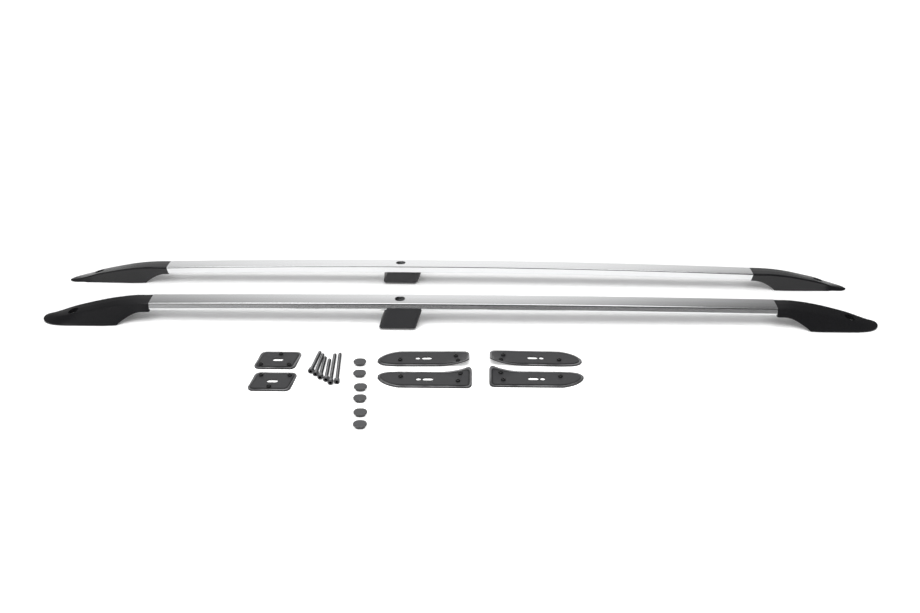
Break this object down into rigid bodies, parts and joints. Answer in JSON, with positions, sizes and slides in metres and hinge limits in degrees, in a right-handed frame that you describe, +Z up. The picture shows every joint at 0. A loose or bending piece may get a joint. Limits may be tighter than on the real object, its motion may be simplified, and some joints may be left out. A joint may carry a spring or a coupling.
{
  "type": "roof side rail pair",
  "caption": "Pair of low-profile vehicle roof side rails: bowed silver tubes with black tapered end feet and centre feet, with their loose gaskets, bolts and hole plugs.",
  "frame": {"origin": "on the floor, at the middle of the plan box round both rails and the loose parts", "axes": "+X along the rails towards the front of the vehicle, +Y towards its left, +Z up"},
  "size_m": [2.0109, 0.6336, 0.0583],
  "materials": {
    "tube": "satin silver anodised",
    "foot": "fine-grained black, half matt",
    "bracket": "as cast",
    "steel": "dark zinc",
    "gasket": "matt black",
    "plug": "matt dark grey"
  },
  "bodies": {
    "root": {"left_centre_foot": "foot", "left_centre_gasket": "gasket", "left_centre_sleeve": "steel", "left_front_bracket": "bracket", "left_front_foot": "foot", "left_front_gasket": "gasket", "left_rear_bracket": "bracket", "left_rear_foot": "foot", "left_rear_gasket": "gasket", "left_tube": "tube", "long_bolt_1": "steel", "long_bolt_2": "steel", "plug_1": "plug", "plug_2": "plug", "plug_3": "plug", "plug_4": "plug", "plug_5": "plug", "plug_6": "plug", "right_centre_foot": "foot", "right_centre_gasket": "gasket", "right_centre_sleeve": "steel", "right_front_bracket": "bracket", "right_front_foot": "foot", "right_front_gasket": "gasket", "right_rear_bracket": "bracket", "right_rear_foot": "foot", "right_rear_gasket": "gasket", "right_tube": "tube", "short_bolt_1": "steel", "short_bolt_2": "steel", "short_bolt_3": "steel", "short_bolt_4": "steel"}
  },
  "joints": []
}
